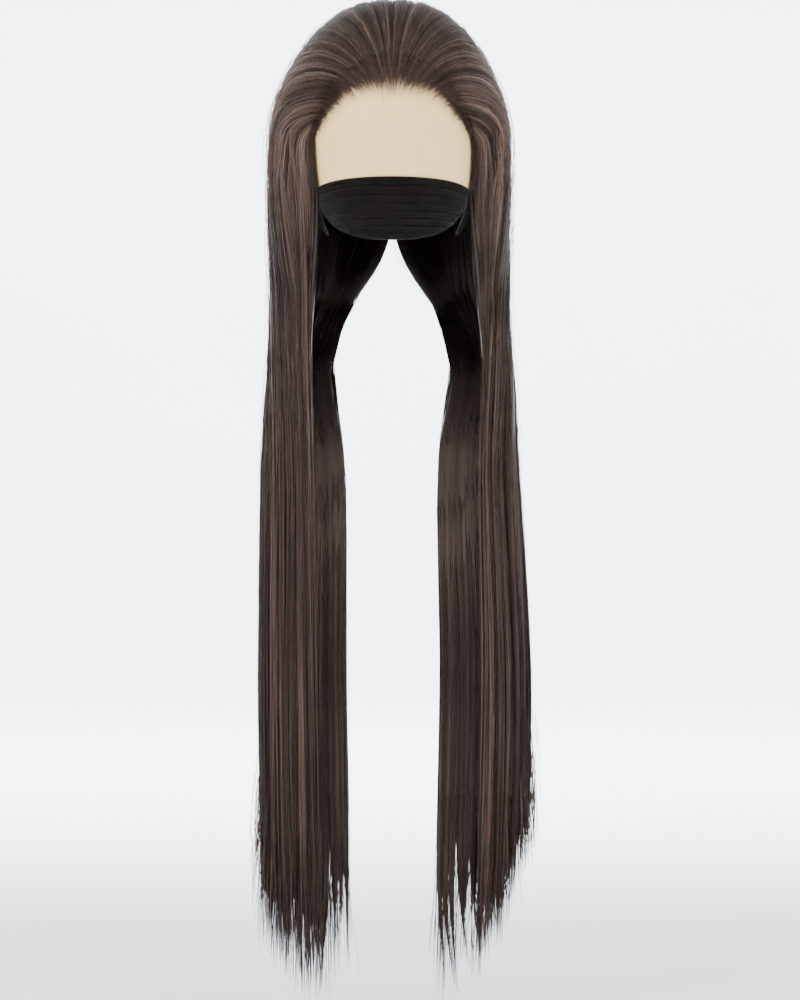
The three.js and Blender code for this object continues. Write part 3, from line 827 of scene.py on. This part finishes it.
# Millimetres of flow coordinates across a fall, and the middle of a fall seen from above
FLOW_WIDTH = 420
FALL_MIDDLE = np.array([74.0, -72.0])


def settle(points, rounds, first, last):
    """Smooths each path across the level where the hair leaves the head, and keeps it off the cap."""
    for _ in range(rounds):
        middle = (points[:, first - 1:last - 1] + points[:, first + 1:last + 1]) / 2
        points[:, first:last] = mix(points[:, first:last], middle, 0.5)
    near = points[:, first:last] - CENTRE
    reach = np.linalg.norm(near, axis=-1)
    dirs = unit(near)
    clear = np.where(near[..., 2] > -CAP_NAPE_DROP + CROWN_HEIGHT - 8, head_radius(dirs) + CAP_CLEARANCE, 0)
    points[:, first:last] = CENTRE + dirs * np.maximum(reach, clear)[..., None]
    return points


def flow_coordinates(place, length, apart):
    """Across the fall, along the hair, and a third value that keeps the streaks of strands apart."""
    return np.stack(np.broadcast_arrays(place * FLOW_WIDTH, length, apart), -1)


def body_flow(place, length, side, low):
    return flow_coordinates(place, length, SIDES.index(side) * 9 + (low > 0) * 4)


def shaded(points, tone):
    """The hair's inner side is darkest beside the neck and behind the head, where no light comes."""
    return tone + PAINTED_SHADE_TONE * (1 - smooth(-points[..., 2], 290, 520))


def hair_body(side, bundle, material):
    mesh = Mesh()
    low, high = BUNDLES[bundle]
    place = np.linspace(low + 0.004, high - 0.001, BODY_COLUMNS + 1)[:, None]
    back_of_face = np.linspace(0, 1, BODY_COLUMNS + 1)[:, None] * (bundle == "front")
    first = BODY_START + BODY_START_SLANT * back_of_face
    along = mix(first, 1, np.linspace(0, 1, BODY_HEAD_ROWS)[None, :])
    p, s = np.broadcast_arrays(place, along)
    upper = [head_points(side, p, s, np.full(p.shape, depth)) for depth in (BODY_DEPTH, 1.0)]
    drops = np.linspace(EAR_DROP + 8, SPLIT_DROP + 10, BODY_FALL_ROWS)[None, :]
    q, d = np.broadcast_arrays(place, drops)
    there, _, _ = lock_course(side, q, d)
    lower = [hanging_points(side, there, d, np.full(d.shape, depth)) for depth in (BODY_DEPTH, 0.97)]
    grids = []
    for top, bottom in zip(upper, lower):
        grid = np.concatenate([top, bottom], 1)
        grid = settle(grid, 14, BODY_HEAD_ROWS - 8, BODY_HEAD_ROWS + 12)
        grids.append(to_side(grid, side))
    flow = body_flow(place, run_lengths(grids[0]), side, low)
    dark = np.full(flow.shape[:2], BODY_TONE)
    # Painted shade: the three columns at each edge of the outer side, and at the first edge of the inner
    # side, are darkened
    dark[[0, 1, 2, -3, -2, -1]] += PAINTED_SHADE_TONE
    inside = shaded(grids[1], INNER_TONE)
    inside[[0, 1, 2]] += PAINTED_SHADE_TONE
    closed_grid(mesh, grids[0], grids[1], flow, (dark, inside), (0, 0.3, 1, 0.69), side == "left")
    add_lock_bodies(mesh, side, low, high)
    return mesh.build(f"hair_body_{bundle}_{side}", material)


def add_lock_bodies(mesh, side, low, high):
    """Each fine lock goes on below the split as its own closed body, down to near its tip."""
    for k in range(FINE_PER_BUNDLE):
        across = np.linspace(k + 0.02, k + 0.98, 5) / FINE_PER_BUNDLE
        place = mix(low, high, across)[:, None]
        tip = float(tip_drops(side, place)[2, 0]) * 0.985
        drop = mix(SPLIT_DROP - LOCK_OVERLAP, tip, np.linspace(0, 1, 22)[None, :])
        q, d = np.broadcast_arrays(place, drop)
        there, _, _ = lock_course(side, q, d)
        middle = there[2:3]
        near_end = smooth(drop, tip - 80, tip)
        there = middle + (there - middle) * (1 - near_end * 0.95)
        thin = 0.46 * (1 - smooth(drop, tip - 110, tip) * 0.95)
        outer = to_side(hanging_points(side, there, d, 0.5 - thin), side)
        inner = to_side(hanging_points(side, there, d, 0.5 + thin), side)
        flow = body_flow(q, d + 100.0, side, low)
        dark = np.full(q.shape, LOCK_BODY_TONE)
        inside = np.full(q.shape, INNER_TONE)
        tile = (k / FINE_PER_BUNDLE, 0, 0.9 / FINE_PER_BUNDLE, 0.28)
        closed_grid(mesh, outer, inner, flow, (dark, inside), tile, side == "left")


# The strands

HEAD_STEPS = 12
FALL_STEPS = 12


def strand_paths(side, place, depth, root, tip_share, rng, wave=0.5, proud=0.0, drift=0.0):
    """Paths [strand, point] from the root over the head and down to a share of the way to the tip
    of the strand's lock. A strand with drift crosses over its neighbours towards the face."""
    count = len(place)
    p = place[:, None]
    along = mix(root[:, None], 1, np.linspace(0, 1, HEAD_STEPS)[None, :] ** 1.25)
    p_head = np.maximum(p + drift * smooth(along, 0.05, 0.95), 0.012)
    head = head_points(side, p_head, along, depth[:, None], proud)
    place = np.maximum(place + np.ravel(drift), 0.012)
    end = tip_drops(side, place) * tip_share
    t = np.concatenate([np.linspace(0.04, 0.5, FALL_STEPS - 6), np.linspace(0.6, 1, 6)])
    drop = mix(EAR_DROP, end[:, None], t[None, :])
    there, share, _ = lock_course(side, place[:, None], drop)
    drawn = 0.5 + (depth[:, None] - 0.5) * (1 - 0.8 * smooth(share, 0.1, 1))
    fall = hanging_points(side, there, drop, drawn, proud)
    paths = np.concatenate([head, fall], 1)
    paths = settle(paths, 4, HEAD_STEPS - 2, HEAD_STEPS + 1)
    phase = rng.uniform(0, 2 * np.pi, (count, 3))
    s = np.linspace(0, 1, paths.shape[1])[None, :]
    sway = np.sin(s * 7 + phase[:, :1]) * 0.6 + np.sin(s * 17 + phase[:, 1:2]) * 0.4
    free = smooth(s, 0.05, 0.4)
    paths[..., 0] += wave * sway * free
    paths[..., 1] += wave * 0.6 * np.sin(s * 9 + phase[:, 2:3]) * free
    return paths


def outward_of(paths):
    """Away from the head above, and away from the middle of its fall below."""
    xy = paths[..., :2] - FALL_MIDDLE
    flat = np.concatenate([xy, np.zeros(paths.shape[:-1] + (1,))], -1)
    low = smooth(-paths[..., 2], 150, 330)[..., None]
    return unit(mix(unit(paths - CENTRE), unit(flat), low))


def lay_strands(mesh, side, paths, width, height, tone, rng, place, tile):
    """Turns paths into strands that are fine at the root, widest on the way down and end in a point."""
    s = np.linspace(0, 1, paths.shape[1])[None, :]
    taper = mix(0.1, 1, smooth(s, 0, 0.18)) * (1 - 0.9 * smooth(s, 0.84, 1.0))
    outward = outward_of(paths)
    flow = flow_coordinates(place[:, None], run_lengths(paths), rng.uniform(0, 30, (len(paths), 1)))
    paths = to_side(paths, side)
    if side == "left":
        outward = outward * np.array([-1, 1, 1])
    add_tubes(mesh, paths, width[:, None] * taper, height[:, None] * taper, outward, flow, tone, tile)


def lock_tone(place, rng, spread):
    """Locks differ a little in tone, and strands within them too."""
    tones = rng.uniform(-1, 1, 60)
    at = place * 58
    i = at.astype(int)
    lock = mix(tones[i], tones[i + 1], smooth(at - i, 0.3, 0.7))
    return 0.12 * lock + spread * rng.normal(0, 1, len(place))


# Height of a strand as a share of its width
FLATNESS = 0.7
# How much paler the sides of the head are painted, as painted light
PAINTED_LIGHT_TONE = 0.19
ROOT_TONE = 0.14
# Bake room of strands and wisps together, as a share of that of the strands
WISP_ROOM = 1.2
# Number of strands of each kind in a bundle
COUNTS = {
    "front": {"outer": 800, "inner": 80, "loose": 80},
    "back": {"outer": 510, "inner": 380, "loose": 70},
}


def kind_of_strand(kind, count, place, rng):
    """Where each strand starts, how deep in the hair it lies, how far down it reaches, its half width,
    tone and waviness, and how proud of the hair it stands."""
    root = 0.1 * rng.uniform(0, 1, count) ** 0.7
    tip = 1 - np.abs(rng.normal(0, 0.045, count))
    if kind == "inner":
        tone = lock_tone(place, rng, 0.06) - 0.02
        return (rng.uniform(0.15, 0.5, count), rng.uniform(0.86, 1.03, count), tip,
                rng.uniform(0.28, 0.6, count), tone, 0.6, 0.0)
    if kind == "loose":
        return (root, rng.uniform(-0.16, 0.02, count), rng.uniform(0.45, 1, count),
                rng.uniform(0.13, 0.2, count), rng.uniform(0, 0.2, count), 3.0,
                rng.uniform(0.3, 1.4, (count, 1)))
    behind = rng.uniform(0, 1, count) < 0.3
    root = np.where(behind, rng.uniform(0.02, 0.4, count), root)
    tone = lock_tone(place, rng, 0.09) - 0.22 * (rng.uniform(0, 1, count) < 0.14)
    return (root, rng.uniform(-0.03, 0.08, count), tip, rng.uniform(0.22, 0.52, count), tone, 0.55,
            rng.uniform(-0.2, 0.6, (count, 1)))


def side_light(paths):
    """Painted light: the hair at the sides of the head is painted paler than that on the crown."""
    height = -paths[..., 2]
    return smooth(np.abs(paths[..., 0]), 45, 85) * smooth(height, 15, 50) * (1 - smooth(height, 115, 215))


def strand_tones(place, root, tone, paths):
    """Tones along strands: painted shade in grooves and painted highlight on ridges, darker below the ears,
    painted light at the sides of the head, and paler roots.
    """
    height = paths[..., 2]
    along = 1 - np.minimum(height + EAR_DROP, 180) / 180
    along = along + 1.8 * smooth(-height, EAR_DROP, HAIR_LENGTH)
    tones = tone[:, None] * mix(1.3, 0.8, smooth(-height, 130, 330))
    tones = tones - mix(0.03, 0.14, smooth(-height, 140, 280))
    beside = side_light(paths)
    tones = tones + painted_groove_shading(place[:, None], along, height, beside) + PAINTED_LIGHT_TONE * beside
    run = np.linspace(0, 1, paths.shape[1])[None, :]
    return tones + ROOT_TONE * (1 - smooth(run, 0, 0.08)) * (root < 0.1)[:, None]


def strands(side, bundle, material):
    rng = np.random.default_rng(SEED + 10 * SIDES.index(side) + (bundle == "back"))
    mesh = Mesh()
    low, high = BUNDLES[bundle]
    total = sum(COUNTS[bundle].values()) * WISP_ROOM
    done = 0
    for kind, count in COUNTS[bundle].items():
        place = mix(low, high, (np.arange(count) + rng.uniform(0, 1, count)) / count)
        root, depth, tip, width, tone, wave, proud = kind_of_strand(kind, count, place, rng)
        paths = strand_paths(side, place, depth, root, np.clip(tip, 0.3, 1), rng, wave, proud)
        tones = strand_tones(place, root, tone, paths)
        if kind == "inner":
            tones = shaded(paths, tones)
        tile = (done / total, 0, count / total, 1)
        lay_strands(mesh, side, paths, width, width * FLATNESS, tones, rng, place, tile)
        done += count
    tile = (done / total, 0, 1 - done / total, 0.5)
    add_end_wisps(mesh, side, low, high, rng, tile)
    if bundle == "front":
        tile = (done / total, 0.51, 1 - done / total, 0.49)
        add_sweeping_locks(mesh, side, rng, tile)
    return mesh.build(f"strands_{bundle}_{side}", material)


# Root, crossing, tone and strands of each lock that crosses over its neighbours
SWEEPING = {
    "left": (
        (0.1, -0.06, 0.06, 14), (0.2, -0.09, 0.16, 16), (0.31, -0.1, -0.22, 16), (0.4, -0.1, 0.16, 16),
    ),
    "right": (
        (0.12, -0.07, -0.22, 14), (0.2, -0.12, 0.24, 20), (0.3, -0.12, 0.18, 18), (0.42, -0.08, -0.18, 12),
    ),
}


def add_sweeping_locks(mesh, side, rng, tile):
    """Locks that lie on the others and sweep from higher on the hairline down over the temple."""
    rows = np.array(SWEEPING[side])
    at, crossing, tone = np.repeat(rows[:, :3], rows[:, 3].astype(int), 0).T
    count = len(at)
    place = at + rng.normal(0, 0.009, count)
    drift = crossing * rng.uniform(0.8, 1.1, count)
    root = rng.uniform(0.01, 0.06, count)
    depth = rng.uniform(-0.05, 0.02, count)
    tip = rng.uniform(0.9, 1, count)
    proud = rng.uniform(0.5, 1.5, (count, 1))
    paths = strand_paths(side, place, depth, root, tip, rng, 0.7, proud, drift[:, None])
    fading = 1 - 0.75 * smooth(-paths[..., 2], 130, 420)
    # Painted light: the locks are painted paler at the sides of the head
    tones = tone[:, None] * fading + 0.08 * side_light(paths)
    width = rng.uniform(0.3, 0.6, count)
    lay_strands(mesh, side, paths, width, width * FLATNESS, tones, rng, place, tile)


END_WISPS = 620
END_STEPS = 8
WISP_STARTS = (600, 740)
WISP_WIDTHS = (0.16, 0.36)
SPLAY_LENGTH = 130


def add_end_wisps(mesh, side, low, high, rng, tile):
    """Loose ends that don't draw together with their lock, and fill the gaps between the locks."""
    place = mix(low, high, rng.uniform(0.01, 0.99, END_WISPS))
    start = rng.uniform(*WISP_STARTS, END_WISPS)
    end = np.minimum(tip_drops(side, place) * rng.uniform(0.9, 1.02, END_WISPS), HAIR_LENGTH)
    drop = mix(start[:, None], end[:, None], np.linspace(0, 1, END_STEPS)[None, :])
    depth = rng.uniform(0.05, 0.95, (END_WISPS, 1))
    drift = rng.normal(0, 0.006, (END_WISPS, 1)) * smooth(drop, 700, 860)
    spots = np.clip(place[:, None] + drift, low + 0.001, high - 0.001)
    paths = hanging_points(side, spots, drop, depth)
    splay = rng.normal(0.8, 3.0, (END_WISPS, 2)) * (rng.uniform(0, 1, (END_WISPS, 1)) < 0.6)
    outermost = 1 - smooth(np.abs(place - 0.5), 0.04, 0.3)
    splay[:, 0] += rng.uniform(0, 9, END_WISPS) * outermost * (rng.uniform(0, 1, END_WISPS) < 0.7)
    late = smooth(drop, end[:, None] - SPLAY_LENGTH, end[:, None]) ** 1.5
    paths[..., 0] += splay[:, :1] * late
    paths[..., 1] += splay[:, 1:] * late
    width = rng.uniform(*WISP_WIDTHS, END_WISPS)
    tones = rng.uniform(-0.15, 0.1, (END_WISPS, 1))
    lay_strands(mesh, side, paths, width, width * FLATNESS, tones, rng, place, tile)


# Fine short hairs along the hairline, tied into the lace

BABY_HAIRS = 900
BABY_STEPS = 7
# Share of the way over the head that they reach, and half widths
BABY_REACH = (0.06, 0.24)
BABY_WIDTHS = (0.08, 0.17)


def baby_hairs(side, material):
    rng = np.random.default_rng(SEED + 70 + SIDES.index(side))
    mesh = Mesh()
    share = (np.arange(BABY_HAIRS) + rng.uniform(0, 1, BABY_HAIRS)) / BABY_HAIRS
    round_ = TEMPLE_ANGLE * share
    ahead = np.abs(rng.normal(0, 1, BABY_HAIRS)) * 6.0 - 4.0
    first = direction(round_, hairline_down(round_) + arc_angle(1) * ahead)
    crowding = np.linspace(0, 1, 400)
    starts = mix(1 - crowding, (1 - crowding) ** 2, SWEEP_CROWDING)
    place = np.interp(share, starts[::-1], crowding[::-1])
    place = np.clip(place + rng.normal(0, 0.012, BABY_HAIRS), 0, 1)
    reach = rng.uniform(*BABY_REACH, BABY_HAIRS)
    t = np.linspace(0, 1, BABY_STEPS)[None, :]
    along = reach[:, None] * t
    there = head_dirs(side, place[:, None], along)
    pull = (1 - smooth(t, 0, 0.75))[..., None]
    dirs = unit(there + (first - there[:, 0])[:, None, :] * pull)
    lift = LACE_WALL + 0.1 + 4.6 * smooth(t, 0.0, 0.9) * np.minimum(1, reach[:, None] / 0.09)
    paths = on_head(dirs, lift)
    width = rng.uniform(*BABY_WIDTHS, BABY_HAIRS)
    tones = rng.uniform(-0.12, 0.16, (BABY_HAIRS, 1))
    lay_strands(mesh, side, paths, width, width * 0.8, tones, rng, place, (0, 0, 1, 1))
    return mesh.build(f"hairline_{side}", material)


# The lace, the cap and the ear tabs. Walls are the lifts of a sheet's outer and inner side

LACE_WALLS = (LACE_WALL, LACE_WALL - 0.45)
CAP_WALLS = (CAP_WALL, 0.3)
TAB_WALLS = (TAB_WALL, 0.1)
CAP_START = 1.5


def sheet_grid(rounds, downs, walls):
    """Outer and inner points of a sheet on the head, and its flat coordinates, [column, row]."""
    r = np.broadcast_to(rounds[:, None], downs.shape)
    dirs = direction(r, downs)
    outer, inner = (on_head(dirs, np.full(downs.shape, wall)) for wall in walls)
    radius = head_radius(dirs)
    around = np.radians(r) * radius * np.sin(np.radians(downs))
    flow = np.stack([around, np.radians(downs) * radius, np.zeros_like(radius)], -1)
    return outer, inner, flow


def plain_sheet(mesh, rounds, downs, walls, tile, mirrored=False):
    outer, inner, flow = sheet_grid(rounds, downs, walls)
    flip = np.array([-1 if mirrored else 1, 1, 1])
    tone = np.zeros(downs.shape)
    closed_grid(mesh, outer * flip, inner * flip, flow, (tone, tone), tile, mirrored)


def lace(material):
    mesh = Mesh()
    rounds = np.linspace(-LACE_SIDE_ANGLE, LACE_SIDE_ANGLE, 97)
    downs = np.linspace(seam_down(rounds), lace_edge_down(rounds), 44, axis=1)
    outer, inner, flow = sheet_grid(rounds, downs, LACE_WALLS)
    ahead = (downs - hairline_down(rounds)[:, None]) / arc_angle(1)
    tone = 0.95 * (1 - smooth(ahead, -3, 20)) ** 1.5
    closed_grid(mesh, outer, inner, flow, (tone, tone), (0, 0, 1, 1))
    piece = mesh.build("lace_sheet", material)
    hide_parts("lace_front")
    return piece


def folded(rounds):
    """Angles from the face, the same for both sides."""
    return np.where(rounds > 180, 360 - rounds, np.abs(rounds))


def cap(material):
    mesh = Mesh()
    gap = arc_angle(PIECE_GAP)
    rounds = np.linspace(-LACE_SIDE_ANGLE - gap, LACE_SIDE_ANGLE + gap, 97)
    behind = np.linspace(LACE_SIDE_ANGLE + gap, 360 - LACE_SIDE_ANGLE - gap, 113)
    tops = seam_down(folded(rounds)) - gap
    downs = np.linspace(np.full(len(rounds), CAP_START), tops, 34, axis=1)
    plain_sheet(mesh, rounds, downs, CAP_WALLS, (0, 0.6, 1, 0.39))
    edges = cap_edge_down(folded(behind))
    downs = np.linspace(np.full(len(behind), CAP_START), edges, 46, axis=1)
    plain_sheet(mesh, behind, downs, CAP_WALLS, (0, 0, 1, 0.59))
    piece = mesh.build("cap_net", material)
    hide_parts("wig_cap")
    return piece


def ear_tab(side, material):
    mesh = Mesh()
    rounds = np.linspace(TAB_FRONT_ANGLE, TAB_BACK_ANGLE, 13)
    lace_end = lace_edge_down(np.minimum(rounds, LACE_SIDE_ANGLE))
    cap_end = cap_edge_down(np.maximum(rounds, LACE_SIDE_ANGLE))
    start = np.maximum(lace_end, cap_end) + arc_angle(PIECE_GAP)
    share = (rounds - TAB_FRONT_ANGLE) / (TAB_BACK_ANGLE - TAB_FRONT_ANGLE)
    length = TAB_LENGTH * (1 - TAB_TAPER * share**2)
    downs = np.linspace(start, start + arc_angle(1) * length, 25, axis=1)
    plain_sheet(mesh, rounds, downs, TAB_WALLS, (0, 0, 1, 1), side == "left")
    piece = mesh.build(f"ear_tab_cloth_{side}", material)
    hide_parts(f"ear_tab_{side}")
    return piece


def main():
    set_up_camera()
    set_up_stage()
    hair = hair_material("hair_strands", 0.5, 0.42)
    body = hair_material("hair_body", 0.6, 0.5)
    for side in SIDES:
        for bundle in BUNDLES:
            piece = hair_body(side, bundle, body)
            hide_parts(f"{bundle}_hair_{side}")
            strands(side, bundle, hair)
        baby_hairs(side, hair)
    looks = {name: net_material(name, *look) for name, look in SHEET_LOOKS.items()}
    sheets = [lace(looks["lace_net"]), cap(looks["cap_net"])]
    for side in SIDES:
        tab = ear_tab(side, looks["tab_cloth"])


main()
